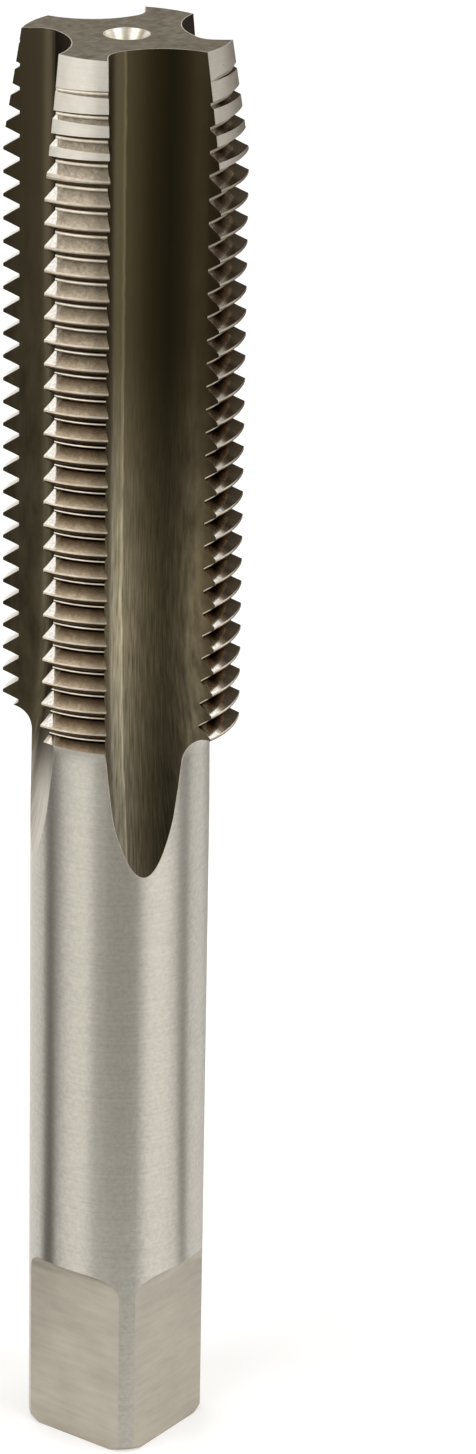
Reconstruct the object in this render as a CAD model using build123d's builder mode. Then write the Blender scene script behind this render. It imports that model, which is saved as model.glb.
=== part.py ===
"""A straight-fluted hand tap, ground from one bar of high-speed steel.

The tap stands on its drive square with its axis along +Z and its lead at the top.
The origin is the middle of the square's end face, and the flats of the square face
+X, +Y, -X and -Y. Lengths are in millimetres and angles in degrees.
"""
import os
from math import acos, ceil, cos, degrees, radians, sin, tan

from build123d import *

# Driving dimensions: lengths along the tap
overall_length = 89.8
thread_length = 41.9
lead_length = 6.6
flute_length = 33.5
square_length = 10.7

# Diameters, and the section of the drive square
thread_diameter = 14.33
lead_tip_diameter = 12.36
shank_diameter = 10.85
square_across_flats = 8.35
flat_count = 4

# Thread: right-hand, 60 degrees, cut to a narrow flat at the root and at the crest
threads_per_inch = 18
thread_angle = 60.0
root_flat_share = 1 / 8
crest_flat_share = 1 / 8
first_crest_depth = 0.9

# Lands, and the flutes ground between them
land_count = 4
land_angle = 33.1
core_diameter = 6.92
flute_radius = 4.45
flute_corner_radius = 1.2
hook_angle = 20.0
hook_radius = 7.0
lead_relief = 0.18
grinding_wheel_radius = 80.0
run_out_steps = 4
flute_start = -36.7

# Neck, square and end features
neck_radius = 1.6
square_cutter_radius = 1.8
end_chamfer = 0.4
centre_mouth_diameter = 2.65
centre_drill_diameter = 1.25
centre_drill_length = 2.4
centre_angle = 60.0
drill_point_angle = 118.0

# How far a cutter passes beyond the surface that it cuts, as lengths and as angles
overcut = 1.0
comb_clearance = 0.05
groove_overrun = 6.0
run_out_overrun = 1.0

# Radii and heights worked out from the driving dimensions
pitch = 25.4 / threads_per_inch
thread_radius = thread_diameter / 2
shank_radius = shank_diameter / 2
core_radius = core_diameter / 2
thread_end = overall_length - thread_length
run_out_start = overall_length - flute_length
flank_slope = tan(radians(thread_angle / 2))
thread_depth = pitch * (1 - crest_flat_share - root_flat_share) / (2 * flank_slope)

# Angles about the axis, counted clockwise as seen from the lead from the middle of a flute,
# where the grinding wheel lifts out, to the corners of the lands beside it
land_spacing = 360 / land_count
flute_centre = core_radius + flute_radius
heel_angle = degrees(acos(
    (flute_centre**2 + thread_radius**2 - flute_radius**2) / (2 * flute_centre * thread_radius)
))
edge_angle = land_spacing - land_angle - heel_angle
first_land = flute_start - edge_angle - land_angle / 2

# Flute cutter: a section with a round floor and a hooked cutting face. It runs straight
# along the lands, then lifts out of the shank in short steps along the radius of the
# grinding wheel. It starts on +Y, and the cutting face of the land is on its +X side.
cutting_edge = thread_radius * Vector(sin(radians(edge_angle)), cos(radians(edge_angle)))
hook_lean = radians(edge_angle - hook_angle)
hook_centre = cutting_edge + hook_radius * Vector(-cos(hook_lean), sin(hook_lean))
run_out_angle = degrees(acos(1 - (shank_radius - core_radius) / grinding_wheel_radius)) + run_out_overrun

with BuildPart() as flute_cutter:
    with BuildSketch(Plane.XY.offset(run_out_start)) as flute_section:
        with Locations((0, flute_centre)):
            Circle(flute_radius)
        with Locations((hook_centre.X, hook_centre.Y)):
            Circle(hook_radius, mode=Mode.INTERSECT)
        Rectangle(4 * thread_radius, 2 * (thread_radius + overcut), mode=Mode.INTERSECT)
        fillet(flute_section.vertices().sort_by(Axis.Y)[0], flute_corner_radius)
    with BuildLine(Plane.YZ) as flute_floor:
        floor_points = [(0, overall_length + overcut)]
        for step in range(run_out_steps + 1):
            lift = radians(run_out_angle * step / run_out_steps)
            floor_points.append((
                grinding_wheel_radius * (1 - cos(lift)),
                run_out_start - grinding_wheel_radius * sin(lift),
            ))
        Polyline(*floor_points)
    sweep(
        flute_section.sketch.moved(Location((0, 0, flute_length + overcut))),
        path=flute_floor.line,
        transition=Transition.RIGHT,
    )

# Lead cutter: the outside of a cone whose axis is moved towards the cutting edge of a land
# on +X, so that the crests fall away behind the edge
relief_offset = lead_relief / (2 * sin(radians(land_angle / 2)))
lead_radius = (lead_tip_diameter - lead_relief) / 2
lead_slope = (thread_diameter - lead_tip_diameter) / (2 * lead_length)
sector_edge = Vector(1, 0, 0).rotate(Axis.Z, -land_spacing / 2)
sector_plane = Plane((0, relief_offset, overall_length), sector_edge, sector_edge.cross(Vector(0, 0, 1)))
lead_cutter_bottom = -2 * lead_length

with BuildPart() as lead_cutter:
    with BuildSketch(sector_plane):
        Polygon(
            (lead_radius - lead_slope * overcut, overcut),
            (lead_radius - lead_slope * lead_cutter_bottom, lead_cutter_bottom),
            (lead_radius + thread_radius, overcut),
            align=None,
        )
    revolve(axis=Axis((0, relief_offset, 0), (0, 0, 1)), revolution_arc=land_spacing)

# Thread cutter: a comb of grooves swept along the helix across one land
comb_radius = thread_radius + comb_clearance
groove_depth = thread_depth + comb_clearance
root_half_width = root_flat_share * pitch / 2
mouth_half_width = root_half_width + groove_depth * flank_slope
grooves_above = 2
groove_count = ceil(thread_length / pitch) + 2 * grooves_above
comb_top = overall_length - first_crest_depth + (grooves_above - 1 / 2) * pitch
sweep_angle = land_angle + 2 * groove_overrun

with BuildPart() as thread_cutter:
    with BuildSketch(Plane.XZ):
        with BuildLine():
            teeth = []
            for groove in range(groove_count):
                middle = comb_top - groove * pitch
                teeth += [
                    (comb_radius, middle + mouth_half_width),
                    (comb_radius - groove_depth, middle + root_half_width),
                    (comb_radius - groove_depth, middle - root_half_width),
                    (comb_radius, middle - mouth_half_width),
                ]
            Polyline(
                (comb_radius + overcut, teeth[0][1]),
                *teeth,
                (comb_radius + overcut, teeth[-1][1]),
                close=True,
            )
        make_face()
    with BuildLine() as helix:
        Helix(pitch, pitch * sweep_angle / 360, thread_radius)
    sweep(path=helix.line, is_frenet=True)

# Square cutter: takes the flat on +X, and its corner radius ends the flat
flat_offset = square_across_flats / 2
flat_end = (flat_offset, square_length)
square_end = (flat_offset + square_cutter_radius, square_length + square_cutter_radius)

with BuildPart() as square_cutter:
    with BuildSketch(Plane.XZ):
        with BuildLine():
            Line((flat_offset, -overcut), flat_end)
            RadiusArc(flat_end, square_end, square_cutter_radius)
            Polyline(
                square_end,
                (shank_radius + square_cutter_radius, square_end[1]),
                (shank_radius + square_cutter_radius, -overcut),
                (flat_offset, -overcut),
            )
        make_face()
    extrude(amount=shank_radius + overcut, both=True)

# Centre drill: a 60 degree cone and a pilot with a drill point, pointing along -Z
mouth_radius = centre_mouth_diameter / 2
drill_radius = centre_drill_diameter / 2
cone_depth = (mouth_radius - drill_radius) / tan(radians(centre_angle / 2))
point_depth = centre_drill_length + drill_radius / tan(radians(drill_point_angle / 2))

with BuildPart() as centre_drill:
    with BuildSketch(Plane.XZ):
        Polygon(
            (0, 0),
            (mouth_radius, 0),
            (drill_radius, -cone_depth),
            (drill_radius, -centre_drill_length),
            (0, -point_depth),
            align=None,
        )
    revolve(axis=Axis.Z)

# The tap: a turned blank, then each cutter in turn
with BuildPart() as tap:
    with BuildSketch(Plane.XZ):
        with BuildLine():
            neck_start = (shank_radius, thread_end - neck_radius)
            neck_end = (shank_radius + neck_radius, thread_end)
            Polyline(
                (0, overall_length),
                (0, 0),
                (shank_radius - end_chamfer, 0),
                (shank_radius, end_chamfer),
                neck_start,
            )
            RadiusArc(neck_start, neck_end, neck_radius)
            Polyline(
                neck_end,
                (thread_radius, thread_end),
                (thread_radius, overall_length),
                (0, overall_length),
            )
        make_face()
    revolve(axis=Axis.Z)
    with PolarLocations(0, flat_count):
        add(square_cutter.part, mode=Mode.SUBTRACT)
    with PolarLocations(0, land_count, start_angle=first_land):
        add(lead_cutter.part, mode=Mode.SUBTRACT)
    for land in range(land_count):
        comb_start = first_land + land * land_spacing - sweep_angle / 2
        with Locations(Location((0, 0, pitch * comb_start / 360), (0, 0, comb_start))):
            add(thread_cutter.part, mode=Mode.SUBTRACT)
    with PolarLocations(0, land_count, start_angle=flute_start - 90):
        add(flute_cutter.part, mode=Mode.SUBTRACT)
    with Locations(Location((0, 0, overall_length)), Location((0, 0, 0), (180, 0, 0))):
        add(centre_drill.part, mode=Mode.SUBTRACT)

tap.part.label = "tap"
os.makedirs("parts", exist_ok=True)
export_step(tap.part, "parts/tap.step")
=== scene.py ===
# %% [markdown]
# # A ground thread tap
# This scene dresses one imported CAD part: a hand tap for cutting a thread, ground from one
# bar of high-speed steel. The part's shape is finished, so Blender's work is its surfaces.
# Each grinding wheel leaves its own grain and shine, and they are what the eye reads as
# a real tool.

# %% Load the part
import math

import bmesh
import bpy
from mathutils import Matrix, Vector


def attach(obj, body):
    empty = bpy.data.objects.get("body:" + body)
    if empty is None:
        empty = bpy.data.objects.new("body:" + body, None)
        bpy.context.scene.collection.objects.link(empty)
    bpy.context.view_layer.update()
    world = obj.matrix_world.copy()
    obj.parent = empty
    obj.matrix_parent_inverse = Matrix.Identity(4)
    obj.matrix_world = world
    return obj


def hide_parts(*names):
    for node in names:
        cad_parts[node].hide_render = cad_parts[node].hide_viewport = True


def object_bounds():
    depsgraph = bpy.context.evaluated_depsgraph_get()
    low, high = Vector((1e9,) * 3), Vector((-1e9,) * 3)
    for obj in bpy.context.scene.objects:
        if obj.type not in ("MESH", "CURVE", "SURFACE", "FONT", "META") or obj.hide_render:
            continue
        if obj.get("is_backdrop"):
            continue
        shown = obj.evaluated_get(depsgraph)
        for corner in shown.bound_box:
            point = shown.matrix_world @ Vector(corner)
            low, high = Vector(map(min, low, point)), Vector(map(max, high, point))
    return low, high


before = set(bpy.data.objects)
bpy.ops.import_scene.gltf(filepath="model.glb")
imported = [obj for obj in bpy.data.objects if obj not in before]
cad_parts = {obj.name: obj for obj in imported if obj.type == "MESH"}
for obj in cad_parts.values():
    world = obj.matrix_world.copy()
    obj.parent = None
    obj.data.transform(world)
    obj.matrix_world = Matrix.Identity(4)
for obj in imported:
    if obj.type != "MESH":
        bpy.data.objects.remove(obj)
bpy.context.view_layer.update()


def plain_box():
    """The model's box as plain lists of numbers, in metres."""
    return [[round(value, 6) for value in corner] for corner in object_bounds()]


cad_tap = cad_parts["tap"]
MM = 0.001

# %% [markdown]
# The drawing's sizes are repeated here, because the faces are sorted by where they lie.
# They could be picked by hand in edit mode, but a tap has over two hundred thread flanks,
# so picking by height, distance from the axis and normal is quicker and always right.

# %% Sizes from the drawing, in millimetres and degrees
OVERALL = 89.8
THREAD_END = 47.9
LEAD_LENGTH = 6.6
THREAD_RADIUS = 7.165
ROOT_RADIUS = 6.248
SHANK_RADIUS = 5.425
NECK_START = 46.3
FLATS_END = 12.5
CENTRE_RADIUS = 1.325
PITCH = 25.4 / 18
LAND_SPACING = 90
LAND_START = -92.8
FLUTE_START = -36.7
print("lead starts at", OVERALL - LEAD_LENGTH, "mm")

# %% [markdown]
# A CAD node's mesh can't be changed, but it can be replaced. The CAD node's mesh is replaced by
# a copy, which lets each ground surface have its own material and crisp borders. The imported
# mesh is loose triangles, so the copy's doubles are merged first, and then smooth shading has
# something to join.

# %% Copy the tap's mesh and join its triangles
MERGE_DISTANCE = 0.0005
bpy.ops.object.select_all(action="DESELECT")
tap = cad_tap.copy()
tap.data = cad_tap.data.copy()
tap.name = "ground_tap"
bpy.context.scene.collection.objects.link(tap)
bpy.context.view_layer.objects.active = tap
tap.select_set(True)
bpy.ops.mesh.customdata_custom_splitnormals_clear()
bpy.ops.object.mode_set(mode="EDIT")
bpy.ops.mesh.select_all(action="SELECT")
bpy.ops.mesh.remove_doubles(threshold=MERGE_DISTANCE * MM)
bpy.ops.object.mode_set(mode="OBJECT")
print("joined mesh:", len(tap.data.vertices), "vertices,", len(tap.data.polygons), "faces")

# %% [markdown]
# Every face gets the name of the surface that it belongs to. The normal's part along the
# radius tells a crest from a flute wall, its part along the axis tells a flank, and its
# part across a flute tells the hooked cutting face. These are the limits.

# %% Limits that tell the surfaces apart
# How near a face's middle is to a surface, in millimetres
FLUSH = 0.01
CENTRE_DEPTH = 4
SHANK_WALL = 5.2
ROUND_WALL = SHANK_RADIUS * 0.97
THREAD_WALL = ROOT_RADIUS - 0.12
CREST_WALL = THREAD_RADIUS - 0.2

# The parts of a face's unit normal: up the axis, out from it, and across a flute
UPRIGHT = 0.01
END_FACE_RISE = 0.95
FLANK_RISE = 0.4
LEAD_RISE = (0.05, 0.3)
NECK_OUTWARD = 0.2
THREAD_OUTWARD = 0.9
SHANK_OUTWARD = 0.98
CORNER_OUTWARD = 0.99
HOOK_LEAN = -0.42
print("crests lie outside a radius of", CREST_WALL, "mm")

# %% [markdown]
# Two small functions use those limits. The front flute and the left flute's run-out have names
# of their own, because their colours differ from the other flutes', the front flute's partly by
# a painted reflection, and the name edge is kept for the burrs. Each name gets a material of
# ground steel, empty for now, and the faces are shared out between them.

# %% Name each face's surface
SURFACES = ["shank", "square", "end", "centre", "tip", "lead", "crest", "upper_flank",
            "lower_flank", "root", "flute", "cutting_face", "front_flute", "run_out", "edge"]
FRONT, LEFT = 0, -1


def flute_wall(x, y, z, normal):
    """Which wall of its flute a face is on. Flutes are counted from the front one."""
    bearing = math.degrees(math.atan2(y, x))
    flute = round((bearing - FLUTE_START) / LAND_SPACING)
    if flute == FRONT:
        return "front_flute"
    if z < NECK_START:
        return "run_out" if flute == LEFT else "flute"
    across = math.radians(FLUTE_START + LAND_SPACING * (flute - 1))
    lean = normal.x * math.cos(across) + normal.y * math.sin(across)
    return "cutting_face" if lean < HOOK_LEAN else "flute"


def surface_of(middle, normal):
    """The name of the ground surface at a point, from its place in mm and its normal."""
    x, y, z = middle
    radius = math.hypot(x, y)
    outward = (normal.x * x + normal.y * y) / max(radius, 1e-6)
    upright = abs(normal.z) < UPRIGHT
    near_end = z < CENTRE_DEPTH or z > OVERALL - CENTRE_DEPTH
    if near_end and radius < CENTRE_RADIUS and abs(normal.z) < END_FACE_RISE:
        return "centre"
    if z < FLUSH:
        return "end"
    if z > OVERALL - FLUSH:
        return "tip"
    if z < FLATS_END:
        on_shank = upright and radius > ROUND_WALL and outward > CORNER_OUTWARD
        return "shank" if on_shank else "square"
    if z < NECK_START:
        on_shank = upright and radius > SHANK_WALL and outward > SHANK_OUTWARD
        return "shank" if on_shank else flute_wall(x, y, z, normal)
    if z < THREAD_END and radius > SHANK_WALL and outward > NECK_OUTWARD and normal.z < -UPRIGHT:
        return "shank"
    in_lead = z > OVERALL - LEAD_LENGTH and LEAD_RISE[0] < normal.z < LEAD_RISE[1]
    if in_lead and outward > THREAD_OUTWARD:
        return "lead"
    if radius > THREAD_WALL and abs(normal.z) > FLANK_RISE:
        return "upper_flank" if normal.z > 0 else "lower_flank"
    if radius > THREAD_WALL and outward > THREAD_OUTWARD:
        return "crest" if radius > CREST_WALL else "root"
    return flute_wall(x, y, z, normal)


finishes = {name: bpy.data.materials.new("ground_steel_" + name) for name in SURFACES}
tap.data.materials.clear()
for material in finishes.values():
    tap.data.materials.append(material)
counts = {name: 0 for name in SURFACES}
for face in tap.data.polygons:
    name = surface_of(face.center / MM, face.normal)
    counts[name] += 1
    face.material_index = SURFACES.index(name)
print(counts)

# %% [markdown]
# Shading is smooth inside one ground surface and breaks where two of them meet, which is
# what keeps the edges of a cutting tool looking sharp. Smoothing by angle alone would
# blur the shallow edge where a flute runs out of the shank, so borders are marked too.

# %% Smooth each surface, and keep its borders sharp
SHARP_ANGLE = 25
for face in tap.data.polygons:
    face.use_smooth = True
joined = bmesh.new()
joined.from_mesh(tap.data)
borders = 0
for edge in joined.edges:
    kinds = {face.material_index for face in edge.link_faces}
    if len(kinds) > 1 or edge.calc_face_angle(0) > math.radians(SHARP_ANGLE):
        edge.smooth = False
        borders += 1
joined.to_mesh(tap.data)
joined.free()
print("sharp edges:", borders)

# %% [markdown]
# Every colour is written as a hex value, as a paint program gives it, and Blender's
# sockets take linear light, so one function converts. Another adds a node, sets its
# sockets, links what feeds it and places a ramp's stops, which keeps each material a
# short list.

# %% Colour and node helpers
def colour(hex_value):
    """A linear RGBA colour from an sRGB hex value such as "#c8c4ba"."""
    parts = [int(hex_value[place:place + 2], 16) / 255 for place in (1, 3, 5)]
    linear = [part / 12.92 if part <= 0.04045 else ((part + 0.055) / 1.055) ** 2.4
              for part in parts]
    return (*linear, 1.0)


def add_node(tree, kind, sockets=None, stops=(), **settings):
    """Adds a node of a kind. A socket is given another node's output, or a plain value.
    stops are the places and colours along a colour ramp."""
    node = tree.nodes.new(kind)
    for key, value in settings.items():
        setattr(node, key, value)
    for key, value in (sockets or {}).items():
        if isinstance(value, bpy.types.NodeSocket):
            tree.links.new(value, node.inputs[key])
        else:
            node.inputs[key].default_value = value
    if stops:
        ramp = node.color_ramp
        while len(ramp.elements) < len(stops):
            ramp.elements.new(1.0)
        for stop, (spot, shade) in zip(ramp.elements, stops):
            stop.position, stop.color = spot, shade
    return node


print("mid grey #808080 is", round(colour("#808080")[0], 3), "in linear light")

# %% [markdown]
# High-speed steel is a warm grey metal. A wheel or a cutter leaves lines in the direction
# that it ran: round the shank, along the flutes, and across the square. The lines are a
# noise pattern squeezed in two directions. They give the colour a little streak, the
# roughness a little change, and the surface a very small bump. Real grinding lines are
# a few hundredths of a millimetre apart, which is too fine to show, so these are drawn
# coarser, mostly a tenth of a millimetre apart or more.

# %% One recipe for ground steel
GRAIN_DETAIL = 3.0
CLOUD_DETAIL = 4.0
NOISE_ROUGHNESS = 0.6
NOISE_LOW, NOISE_HIGH = 0.3, 0.7
DULL_IN_DARK, DULL_IN_LIGHT = 1.2, 0.85
QUARTER_TURN = 0.25


def where_on_tap(tree):
    """Sockets for a point's place on the tap, its height, and its bearing in radians."""
    place = add_node(tree, "ShaderNodeTexCoord").outputs["Object"]
    axes = add_node(tree, "ShaderNodeSeparateXYZ", {"Vector": place})
    bearing = add_node(tree, "ShaderNodeMath", {
        0: axes.outputs["Y"], 1: axes.outputs["X"]}, operation="ARCTAN2")
    return place, axes.outputs["Z"], bearing.outputs["Value"]


def ground_steel(name, light, dark, roughness, lines, turn=(0, 0, 0), depth=0.002,
                 patches=1.5, blotch=0.5, contrast=0.15, towards_tip=None, stretch=0.0,
                 lengthwise=False):
    """Fills a surface's material. lines is how many grinding lines a millimetre holds
    along X, Y and Z, depth is their height in mm, and patches is the size in mm of a
    softer, cloudy change. towards_tip is a colour and the heights where it takes over,
    stretch draws the shine out along the tap, and lengthwise runs the lines along a
    flute, also where it climbs out of the shank."""
    finishes[name].use_nodes = True
    tree = finishes[name].node_tree
    shader = tree.nodes["Principled BSDF"]
    place, height, bearing = where_on_tap(tree)
    lay = place
    if lengthwise:
        arc = add_node(tree, "ShaderNodeMath", {
            0: bearing, 1: SHANK_RADIUS * MM}, operation="MULTIPLY")
        lay = add_node(tree, "ShaderNodeCombineXYZ", {
            "X": arc.outputs["Value"], "Z": height}).outputs["Vector"]
    along = add_node(tree, "ShaderNodeMapping", {
        "Vector": lay, "Rotation": turn, "Scale": [count / MM for count in lines]})
    grain = add_node(tree, "ShaderNodeTexNoise", {
        "Vector": along.outputs["Vector"], "Scale": 1.0, "Detail": GRAIN_DETAIL,
        "Roughness": NOISE_ROUGHNESS})
    cloud = add_node(tree, "ShaderNodeTexNoise", {
        "Vector": place, "Scale": 1 / (patches * MM), "Detail": CLOUD_DETAIL,
        "Roughness": NOISE_ROUGHNESS})
    both = add_node(tree, "ShaderNodeMix", {
        "Factor": blotch, "A": grain.outputs["Fac"], "B": cloud.outputs["Fac"]})
    spread = add_node(tree, "ShaderNodeMapRange", {
        "Value": both.outputs["Result"],
        "From Min": 0.5 - contrast, "From Max": 0.5 + contrast})
    tone = add_node(tree, "ShaderNodeMix", {
        "Factor": spread.outputs["Result"], "A": colour(dark), "B": colour(light)},
        data_type="RGBA")
    if towards_tip:
        tip_colour, start, end = towards_tip
        rise = add_node(tree, "ShaderNodeMapRange", {
            "Value": height, "From Min": start * MM, "From Max": end * MM},
            interpolation_type="SMOOTHSTEP")
        tone = add_node(tree, "ShaderNodeMix", {
            "Factor": rise.outputs["Result"], "A": tone.outputs["Result"],
            "B": colour(tip_colour)}, data_type="RGBA")
    dullness = add_node(tree, "ShaderNodeMapRange", {
        "Value": both.outputs["Result"], "From Min": NOISE_LOW, "From Max": NOISE_HIGH,
        "To Min": roughness * DULL_IN_DARK, "To Max": roughness * DULL_IN_LIGHT})
    bump = add_node(tree, "ShaderNodeBump", {
        "Height": grain.outputs["Fac"], "Strength": 1.0, "Distance": depth * MM})
    tree.links.new(tone.outputs["Result"], shader.inputs["Base Color"])
    tree.links.new(dullness.outputs["Result"], shader.inputs["Roughness"])
    tree.links.new(bump.outputs["Normal"], shader.inputs["Normal"])
    shader.inputs["Metallic"].default_value = 1.0
    if stretch:
        ring = add_node(tree, "ShaderNodeTangent", direction_type="RADIAL", axis="Z")
        tree.links.new(ring.outputs["Tangent"], shader.inputs["Tangent"])
        shader.inputs["Anisotropic"].default_value = stretch
        shader.inputs["Anisotropic Rotation"].default_value = QUARTER_TURN
    return shader


print("noise detail:", GRAIN_DETAIL, "in the grain,", CLOUD_DETAIL, "in the clouds")

# %% [markdown]
# The shank, the square and the two ends are what a hand or a holder touches. They are
# plainly ground, with a wide, soft shine.

# %% Finishes of the shank and the ends
# Ground between wheels: fine rings, which draw the shine out along the shank.
ground_steel("shank", "#cbc6bc", "#b4afa5", roughness=0.42, lines=(0.15, 0.15, 9.0),
             patches=0.25, blotch=0.65, contrast=0.22, depth=0.0008, stretch=0.9)
# Milled flats: slanted lines, and painted shade in the hollow where the cutter lifts out.
ground_steel("square", "#b8b1a3", "#a8a194", roughness=0.42, lines=(0.35, 0.35, 2.5),
             turn=(0.25, 0.25, 0), patches=3.0, contrast=0.2,
             towards_tip=("#6c6457", 11.8, 12.3))
# Faced ends: the foot is plain, and the tip is a dark brown.
ground_steel("end", "#b5ac9b", "#948b7a", roughness=0.42, lines=(6.0, 0.3, 1.0))
ground_steel("tip", "#796f58", "#5e553f", roughness=0.5, lines=(5.0, 0.6, 1.0),
             patches=0.5, blotch=0.75, contrast=0.2)
# Drilled and lapped: the centre holes are the brightest spots on the tap.
ground_steel("centre", "#f2ece2", "#c9bda9", roughness=0.36, lines=(0.3, 0.3, 8.0))
# The burrs along the edges: thin, and pale as a painted highlight.
ground_steel("edge", "#d3cab9", "#a59b88", roughness=0.35, lines=(0.4, 0.4, 8.0),
             patches=0.3)
print("finishes so far:", sum(material.use_nodes for material in finishes.values()))

# %% [markdown]
# The thread is ground last, with a fine wheel, so it is the smoothest and the brightest.
# On the flanks the grain is the same in every direction, because lines there would cross the
# helix. Metal mirrors strongly at a grazing angle, whatever its colour, and the lower flanks are
# seen at such an angle, so their specular tint is dark, which paints shade on them.

# %% Finishes of the thread
# Ground along the helix: fine lines on the lead, the crests and the roots.
ground_steel("lead", "#e4dfd4", "#cfc8bb", roughness=0.3, lines=(0.3, 0.3, 9.0),
             contrast=0.25, patches=0.6)
ground_steel("crest", "#e2d8c5", "#bbae98", roughness=0.32, lines=(0.4, 0.4, 8.0),
             patches=0.3)
ground_steel("root", "#fff4e2", "#e0d3bc", roughness=0.32, lines=(0.6, 0.6, 8.0),
             patches=0.3)
# Polished by the wheel's side: flanks that mirror each other.
ground_steel("upper_flank", "#f8f4ec", "#d2cbc0", roughness=0.13, lines=(3.0, 3.0, 3.0),
             patches=0.16, blotch=0.8, contrast=0.2, depth=0.001)
grazed = ground_steel("lower_flank", "#f0ebe2", "#c6bfb3", roughness=0.24,
                      lines=(3.0, 3.0, 3.0), patches=0.3, depth=0.001)
# A dark specular tint: painted shade on the lower flanks
grazed.inputs["Specular Tint"].default_value = colour("#54473a")
print("finishes so far:", sum(material.use_nodes for material in finishes.values()))

# %% [markdown]
# A flute is ground with a coarser wheel than the thread, and it is a dark brown. Its lines run
# along the tap, and it darkens towards the tip. The left run-out is nearly as pale as the shank,
# and the dark brown begins above it.

# %% Finishes of the flutes
COARSE = {"patches": 2.0, "blotch": 0.15, "contrast": 0.2, "lengthwise": True}
ground_steel("flute", "#655d4a", "#3c3528", roughness=0.4, lines=(7.0, 1.0, 0.3),
             depth=0.004, towards_tip=("#352d20", 56, 84), **COARSE)
ground_steel("cutting_face", "#635b48", "#423b2d", roughness=0.36, lines=(7.0, 1.0, 0.3),
             depth=0.004, towards_tip=("#554c3b", 60, 86), **COARSE)
ground_steel("front_flute", "#655d4a", "#3c3528", roughness=0.4, lines=(9.0, 1.0, 0.45),
             depth=0.004, towards_tip=("#2b2518", 50, 74), **COARSE)
ground_steel("run_out", "#d2cbbe", "#aaa396", roughness=0.36, lines=(7.0, 1.0, 0.3),
             depth=0.002, towards_tip=("#4d4637", 42.0, 46.6), **COARSE)
print("materials:", [material.name for material in tap.data.materials])

# %% [markdown]
# Light and shade are painted across the thread by the place between two crests. Painted shade
# darkens each flank towards the root, the sides of the root and one side of each crest, and
# leaves thin bright lines on the crests and in the roots as painted highlights. Height less the
# turn of the helix gives that place, 0 on a crest and 0.5 on a root, and a ramp of tones is laid
# along it. The first few degrees of each land's upper flanks are left almost without that shade,
# as a painted highlight, and the shade fades towards the lead. Whole turns and whole lands are
# added, so that no place is below 0.

# %% Painted light and shade across the thread
WHOLE_TURNS = 64.0
WHOLE_LANDS = 4
BRIGHT_BLEND = 0.6
BRIGHT_START_SHADE = 0.1
FADE_START, FADE_END = 66, 84
LEAD_SHADE = 0.45


def lay_tones(tree, spot, amount, tones):
    """Multiplies a finished surface's colour by tones laid along spot, as far as amount
    says."""
    base = tree.nodes["Principled BSDF"].inputs["Base Color"]
    stops = [(place, colour(tone)) for place, tone in tones]
    ramp = add_node(tree, "ShaderNodeValToRGB", {"Fac": spot}, stops)
    shaded = add_node(tree, "ShaderNodeMix", {
        "Factor": amount, "A": base.links[0].from_socket, "B": ramp.outputs["Color"]},
        data_type="RGBA", blend_type="MULTIPLY")
    tree.links.new(shaded.outputs["Result"], base)


def paint_thread_shade(name, tones, bright_start=0):
    """Lays painted shade between two crests of a thread surface. fresh is how many degrees of
    each land, counted from its start, are left almost without it, as a painted highlight."""
    tree = finishes[name].node_tree
    height, bearing = where_on_tap(tree)[1:]
    helix = add_node(tree, "ShaderNodeMath", {
        0: bearing, 1: -1 / (2 * math.pi), 2: WHOLE_TURNS}, operation="MULTIPLY_ADD")
    rise = add_node(tree, "ShaderNodeMath", {
        0: height, 1: 1 / (PITCH * MM), 2: helix.outputs["Value"]}, operation="MULTIPLY_ADD")
    between = add_node(tree, "ShaderNodeMath", {0: rise.outputs["Value"]}, operation="FRACT")
    turn = add_node(tree, "ShaderNodeMath", {
        0: bearing, 1: 1 / math.radians(LAND_SPACING),
        2: WHOLE_LANDS - LAND_START / LAND_SPACING}, operation="MULTIPLY_ADD")
    land = add_node(tree, "ShaderNodeMath", {0: turn.outputs["Value"]}, operation="FRACT")
    shade_share = add_node(tree, "ShaderNodeMapRange", {
        "Value": land.outputs["Value"], "From Min": (bright_start - BRIGHT_BLEND) / LAND_SPACING,
        "From Max": (bright_start + BRIGHT_BLEND) / LAND_SPACING,
        "To Min": BRIGHT_START_SHADE, "To Max": 1.0})
    towards_lead = add_node(tree, "ShaderNodeMapRange", {
        "Value": height, "From Min": FADE_START * MM, "From Max": FADE_END * MM,
        "To Min": 1.0, "To Max": LEAD_SHADE}, interpolation_type="SMOOTHSTEP")
    amount = add_node(tree, "ShaderNodeMath", {
        0: shade_share.outputs["Result"], 1: towards_lead.outputs["Result"]}, operation="MULTIPLY")
    lay_tones(tree, between.outputs["Value"], amount.outputs["Value"], tones)
    print(name, "has", len(tones), "tones between two crests")


# Painted shade beside the roots and on one side of the crests, leaving painted highlights
paint_thread_shade("upper_flank", [(0.06, "#fffcf8"), (0.15, "#f1ebe3"), (0.3, "#cdc5bb"),
                            (0.395, "#a39788"), (0.42, "#30261a")], bright_start=5.6)
paint_thread_shade("lower_flank", [(0.575, "#30261a"), (0.6, "#776c5f"), (0.72, "#a59b8e"),
                            (0.85, "#d9d2c9"), (0.93, "#efe9e2")])
paint_thread_shade("root", [(0.44, "#2c2317"), (0.468, "#2c2317"), (0.485, "#ffffff"),
                     (0.52, "#ffffff"), (0.54, "#2c2317")])
paint_thread_shade("crest", [(0.0, "#ffffff"), (0.1, "#ffffff"), (0.93, "#4d3a27"),
                      (0.975, "#6b543d"), (0.995, "#ffffff")])

# %% [markdown]
# On the land after the front flute, both flanks have a patch of painted shade a few degrees
# behind the land's bright end, which darkens a reflection there. Its tones are laid by bearing,
# in degrees from the middle of that flute.

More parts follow.
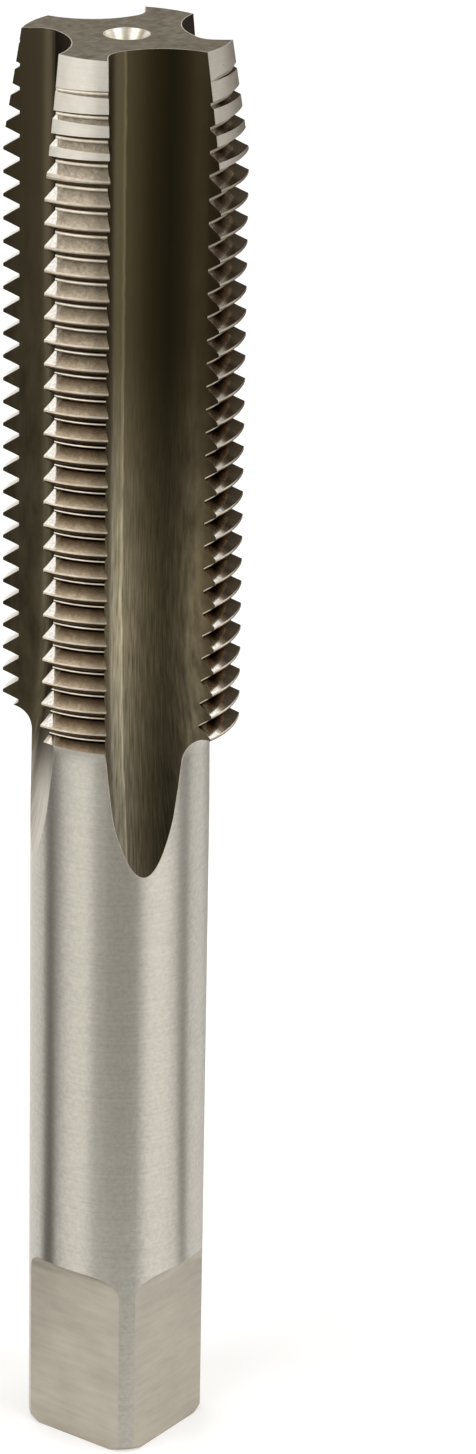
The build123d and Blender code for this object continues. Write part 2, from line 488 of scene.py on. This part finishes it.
# %% Painted shade on one land
# Painted shade: tones laid by bearing across one land
PAINTED_SHADE_PATCH = [(38.5, "#ffffff"), (42, "#a89e92"), (47.5, "#a89e92"), (53, "#ffffff")]
for name in ("upper_flank", "lower_flank"):
    tree = finishes[name].node_tree
    turned = add_node(tree, "ShaderNodeMapRange", {
        "Value": where_on_tap(tree)[2], "From Min": math.radians(FLUTE_START),
        "From Max": math.radians(FLUTE_START + LAND_SPACING)})
    lay_tones(tree, turned.outputs["Result"], 1.0,
              [(bearing / LAND_SPACING, tone) for bearing, tone in PAINTED_SHADE_PATCH])
    print(name, "is duller from", PAINTED_SHADE_PATCH[0][0], "to", PAINTED_SHADE_PATCH[-1][0], "degrees")

# %% [markdown]
# The front flute has a lighter strip beside the cutting edge, partly a rubbed finish and partly
# a painted reflection, which ends in a lighter line where the wheel's corner ran. Its distance
# from the middle of the flute is measured across the flute, so the line is straight and runs
# along the tap, with a slight waver. A ramp's colours stop at 1, so the tones are dark, and a
# gain lifts them, less in the run-out; the lifted tones paint that reflection into the colour.

# %% Rubbed strip and painted reflection in the front flute
RUB_AND_SHEEN_LINE = 1.19
# Rubbed finish and painted reflection across the front flute, in mm from its middle
RUB_AND_SHEEN = [(-2.9, "#89898b"), (-2.4, "#737373"), (-1.5, "#61615f"), (-0.4, "#797976"),
          (0.4, "#89898b"), (RUB_AND_SHEEN_LINE - 0.12, "#9b9ea4"), (RUB_AND_SHEEN_LINE - 0.06, "#d7dbe7"),
          (RUB_AND_SHEEN_LINE + 0.06, "#d7dbe7"), (RUB_AND_SHEEN_LINE + 0.12, "#babfcb"), (1.9, "#c2c8d6"),
          (2.3, "#ecf1ff"), (2.9, "#f9fdff")]
HALF_WIDTH = 3.0
WAVE_LENGTH, WAVE_HEIGHT = 1.43, 0.2
RUN_OUT_GAIN, FLUTE_GAIN = 3.4, 8.0
GAIN_START, GAIN_END = 40, 58
tree = finishes["front_flute"].node_tree
base = tree.nodes["Principled BSDF"].inputs["Base Color"]
place, height = where_on_tap(tree)[:2]
across = math.radians(FLUTE_START - 90)
offset = add_node(tree, "ShaderNodeVectorMath", {
    0: place, 1: (math.cos(across), math.sin(across), 0)}, operation="DOT_PRODUCT")
wave = add_node(tree, "ShaderNodeTexNoise", {
    "Vector": place, "Scale": 1 / (WAVE_LENGTH * MM), "Detail": CLOUD_DETAIL})
wavy = add_node(tree, "ShaderNodeMath", {
    0: wave.outputs["Fac"], 1: WAVE_HEIGHT * MM, 2: offset.outputs["Value"]},
    operation="MULTIPLY_ADD")
reach = add_node(tree, "ShaderNodeMapRange", {
    "Value": wavy.outputs["Value"],
    "From Min": -HALF_WIDTH * MM, "From Max": HALF_WIDTH * MM})
strip = add_node(tree, "ShaderNodeValToRGB", {"Fac": reach.outputs["Result"]}, [
    ((spot + HALF_WIDTH) / (2 * HALF_WIDTH), colour(tone)) for spot, tone in RUB_AND_SHEEN])
fade = add_node(tree, "ShaderNodeMapRange", {
    "Value": height, "From Min": GAIN_START * MM, "From Max": GAIN_END * MM,
    "To Min": RUN_OUT_GAIN, "To Max": FLUTE_GAIN}, interpolation_type="SMOOTHSTEP")
gain = add_node(tree, "ShaderNodeVectorMath", {
    0: strip.outputs["Color"], "Scale": fade.outputs["Result"]}, operation="SCALE")
lit = add_node(tree, "ShaderNodeVectorMath", {
    0: base.links[0].from_socket, 1: gain.outputs["Vector"]}, operation="MULTIPLY")
tree.links.new(lit.outputs["Vector"], base)
print("the light line is", RUB_AND_SHEEN_LINE, "mm from the middle of the flute")

# %% [markdown]
# A grinder leaves a fine burr where two surfaces meet. Round the end of the tap it is a flat rim
# a few hundredths of a millimetre wide, made here by insetting the end face, and its pale finish
# paints the highlight that the burr catches.

# %% Bright rim
RIM = 0.05
TIP, EDGE = SURFACES.index("tip"), SURFACES.index("edge")
bpy.ops.object.select_all(action="DESELECT")
tap.select_set(True)
bpy.context.view_layer.objects.active = tap


def select_only(edges=(), faces=()):
    """Selects a set of the tap's edges or faces, and goes to edit mode."""
    for item in (*tap.data.vertices, *tap.data.edges, *tap.data.polygons):
        item.select = False
    for index in edges:
        tap.data.edges[index].select = True
    for index in faces:
        tap.data.polygons[index].select = True
    bpy.ops.object.mode_set(mode="EDIT")
    bpy.context.tool_settings.mesh_select_mode = (False, bool(edges), bool(faces))


select_only(faces=[face.index for face in tap.data.polygons if face.material_index == TIP])
bpy.ops.mesh.inset(thickness=RIM * MM, depth=0, use_boundary=True)
bpy.ops.object.mode_set(mode="OBJECT")
rim = [face for face in tap.data.polygons if face.material_index == TIP and not face.select]
for face in rim:
    face.material_index = EDGE
print("rim:", len(rim), "faces")

# %% [markdown]
# Along the lip of each run-out the burr is a very small bevel, on the edges that the shank
# shares with a flute's wall, and the same pale finish paints its highlight.

# %% Bright lips
LIP = 0.07
FLUTE_WALLS = {"flute", "cutting_face", "front_flute", "run_out"}
sides = {}
for face in tap.data.polygons:
    for key in face.edge_keys:
        sides.setdefault(key, set()).add(SURFACES[face.material_index])
lips = [edge.index for edge in tap.data.edges
        if "shank" in sides[edge.key] and sides[edge.key] & FLUTE_WALLS]
select_only(edges=lips)
bpy.ops.mesh.bevel(offset=LIP * MM, segments=1, affect="EDGES", clamp_overlap=True,
                   material=EDGE)
bpy.ops.object.mode_set(mode="OBJECT")
print("lips:", len(lips), "edges, finished mesh:", len(tap.data.polygons), "faces")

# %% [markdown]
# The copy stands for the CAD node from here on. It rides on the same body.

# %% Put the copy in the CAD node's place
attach(tap, "root")
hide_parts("tap")
print("the packed tap is hidden, and the ground tap shows")

# %% [markdown]
# The tap stands on a pale bench of matt white paper that runs off to white. To the camera
# and in the steel the bench adds a little light of its own, so it reaches white without
# more light on the tap, and the soft shadow at the tap's foot stays.

# %% Bench
BENCH_WIDTH = 12
BENCH_GLOW = 0.3
bpy.ops.mesh.primitive_plane_add(size=BENCH_WIDTH, location=(0, 0, 0))
bench = bpy.context.object
bench.name = "bench"
paper = bpy.data.materials.new("white_paper")
paper.use_nodes = True
tree = paper.node_tree
sheet = tree.nodes["Principled BSDF"]
sheet.inputs["Base Color"].default_value = colour("#ededed")
sheet.inputs["Roughness"].default_value = 0.9
path = add_node(tree, "ShaderNodeLightPath")
direct = add_node(tree, "ShaderNodeMath", {
    0: path.outputs["Is Camera Ray"], 1: path.outputs["Is Glossy Ray"]}, operation="MAXIMUM")
seen = add_node(tree, "ShaderNodeMath", {
    0: direct.outputs["Value"], 1: path.outputs["Is Transmission Ray"]}, operation="MAXIMUM")
glow = add_node(tree, "ShaderNodeMath", {
    0: seen.outputs["Value"], 1: BENCH_GLOW}, operation="MULTIPLY")
tree.links.new(glow.outputs["Value"], sheet.inputs["Emission Strength"])
sheet.inputs["Emission Color"].default_value = colour("#ffffff")
bench.data.materials.append(paper)
bench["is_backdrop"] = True
print("bench is", bench.dimensions.x, "m wide")

# %% [markdown]
# Shiny steel shows mostly what stands round it, and a round bar under even light looks
# flat. In a studio, dark card is laid just outside the view, and the bar shows each card
# as an upright band. These lie on the bench: a grey one in front, a narrow black one at
# each side, and two behind on the right. Only the steel's reflections can see them. Each
# has its first and last bearing in degrees from the camera, its nearest distance from the
# tap in metres, and its colour.

# %% Dark cards
VIEW_TURN = 37.23
CARD_LENGTH = 0.75
CARD_HEIGHT = 0.0002
CARDS = [("front_card", -34, 29, 0.028, "#b6b6b2"), ("left_card", -106, -83, 0.011, "#33332f"),
         ("right_card", 84, 98, 0.026, "#3a3535"), ("side_card", 98, 130, 0.24, "#665c50"),
         ("back_card", 130, 165, 0.125, "#4f453a")]
for name, first, last, start, shade in CARDS:
    bpy.ops.object.select_all(action="DESELECT")
    bpy.ops.mesh.primitive_grid_add(x_subdivisions=12, y_subdivisions=2, size=1)
    card = bpy.context.object
    card.name = name
    for vertex in card.data.vertices:
        bearing = math.radians(VIEW_TURN + first + (last - first) * (vertex.co.x + 0.5))
        reach = start + CARD_LENGTH * (vertex.co.y + 0.5)
        vertex.co = (math.sin(bearing) * reach, -math.cos(bearing) * reach, CARD_HEIGHT)
    felt = bpy.data.materials.new("felt_on_" + name)
    felt.use_nodes = True
    shader = felt.node_tree.nodes["Principled BSDF"]
    shader.inputs["Base Color"].default_value = colour(shade)
    shader.inputs["Roughness"].default_value = 1.0
    card.data.materials.append(felt)
    for ray in ("camera", "diffuse", "transmission", "volume_scatter", "shadow"):
        setattr(card, "visible_" + ray, False)
    card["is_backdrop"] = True
    print(name, "covers", last - first, "degrees")

# %% [markdown]
# A shiny round bar is only as good as what it mirrors. The world is a soft studio: grey
# behind the camera with a wide soft light on each side, a narrow dark gap at each side of
# the tap, and a bright back with one dark gap on the right. The bar squeezes them into
# upright bands. Each stop is a bearing in degrees from the camera and its light, and the
# darkest stops are a little warm.

# %% World
STUDIO = [(-180, 1.2), (-111, 1.2), (-106, 0.05), (-84, 0.05), (-78, 1.1), (-42, 1.15),
          (-32, 0.4), (28, 0.4), (38, 1.3), (80, 1.3), (85, 0.08), (97, 0.08), (103, 1.4),
          (138, 1.35), (142, 0.05), (172, 0.05), (177, 1.2), (180, 1.2)]
DARKEST = 0.1
NEUTRAL, WARM = (1.0, 1.0, 1.0), (1.25, 1.0, 0.72)
CEILING_START, CEILING_END = 0.83, 0.86
stops = []
for degrees, light in STUDIO:
    tint = WARM if light < DARKEST else NEUTRAL
    stops.append(((degrees + 180) / 360, (*[light * part for part in tint], 1)))
world = bpy.data.worlds.new("soft_studio")
bpy.context.scene.world = world
world.use_nodes = True
tree = world.node_tree
backdrop = tree.nodes["Background"]
direction = add_node(tree, "ShaderNodeTexCoord").outputs["Generated"]
turned = add_node(tree, "ShaderNodeVectorRotate", {
    "Vector": direction, "Angle": math.radians(-VIEW_TURN)}, rotation_type="Z_AXIS")
axes = add_node(tree, "ShaderNodeSeparateXYZ", {"Vector": turned.outputs["Vector"]})
behind = add_node(tree, "ShaderNodeMath", {0: axes.outputs["Y"], 1: -1.0}, operation="MULTIPLY")
bearing = add_node(tree, "ShaderNodeMath", {
    0: axes.outputs["X"], 1: behind.outputs["Value"]}, operation="ARCTAN2")
turn = add_node(tree, "ShaderNodeMapRange", {
    "Value": bearing.outputs["Value"], "From Min": -math.pi, "From Max": math.pi})
ring = add_node(tree, "ShaderNodeValToRGB", {"Fac": turn.outputs["Result"]}, stops)
ceiling = add_node(tree, "ShaderNodeMapRange", {
    "Value": axes.outputs["Z"], "From Min": CEILING_START, "From Max": CEILING_END})
overhead = add_node(tree, "ShaderNodeMix", {
    "Factor": ceiling.outputs["Result"], "A": ring.outputs["Color"],
    "B": colour("#dad6cd")}, data_type="RGBA")
tree.links.new(overhead.outputs["Result"], backdrop.inputs["Color"])
backdrop.inputs["Strength"].default_value = 1.0
print("world has", len(STUDIO), "stops round the horizon")

# %% [markdown]
# Two area lights shape the tap. The large one, high on the left, gives the lands their
# glow and the tap its soft shadow; the smaller one on the right lifts the dark side.

# %% Lights
TAP_MIDDLE = Vector((0, 0, 0.045))


def add_light(name, bearing, height, distance, size, power):
    """An area light at a bearing in degrees from the camera, aimed at the tap's middle."""
    angle = math.radians(VIEW_TURN + bearing)
    spot = Vector((math.sin(angle) * distance, -math.cos(angle) * distance, height))
    light = bpy.data.objects.new(name, bpy.data.lights.new(name, "AREA"))
    light.data.size = size
    light.data.energy = power
    light.location = spot
    light.rotation_euler = (spot - TAP_MIDDLE).to_track_quat("Z", "Y").to_euler()
    bpy.context.scene.collection.objects.link(light)
    return light


key = add_light("key_softbox", bearing=-50, height=0.45, distance=0.45, size=0.4, power=0.9)
fill = add_light("fill_softbox", bearing=55, height=0.35, distance=0.45, size=0.3, power=0.5)
print("lights:", key.name, fill.name)

# %% [markdown]
# The camera stands 0.31 m away and looks down at the tap, close enough for the thread to
# spread a little towards the top. It is turned by its heading, its tilt and a slight roll.

# %% Camera
DISTANCE = 0.31278
HEIGHT = 0.17475
HEADING = 1.296
TILT = 22.229
ROLL = 1.017
FOCAL_PIXELS = 5605.8
FRAME_HEIGHT = 1454
SENSOR_HEIGHT = 36.0
CLIP_START = 0.01
stand = math.radians(VIEW_TURN)
camera = bpy.data.objects.new("camera", bpy.data.cameras.new("camera"))
camera.location = (DISTANCE * math.sin(stand), -DISTANCE * math.cos(stand), HEIGHT)
aim = (Matrix.Rotation(stand - math.radians(HEADING), 3, "Z")
       @ Matrix.Rotation(math.radians(90 - TILT), 3, "X")
       @ Matrix.Rotation(math.radians(ROLL), 3, "Z"))
camera.rotation_euler = aim.to_euler()
camera.data.sensor_fit = "VERTICAL"
camera.data.sensor_height = SENSOR_HEIGHT
camera.data.lens = SENSOR_HEIGHT * FOCAL_PIXELS / FRAME_HEIGHT
camera.data.clip_start = CLIP_START
bpy.context.scene.collection.objects.link(camera)
bpy.context.scene.camera = camera
bpy.context.scene.view_settings.view_transform = "Standard"
print("lens:", round(camera.data.lens, 1), "mm")

# %% [markdown]
# Last, the dressed model's box is printed.

# %% Sizes and finish
print("visual box:", plain_box())
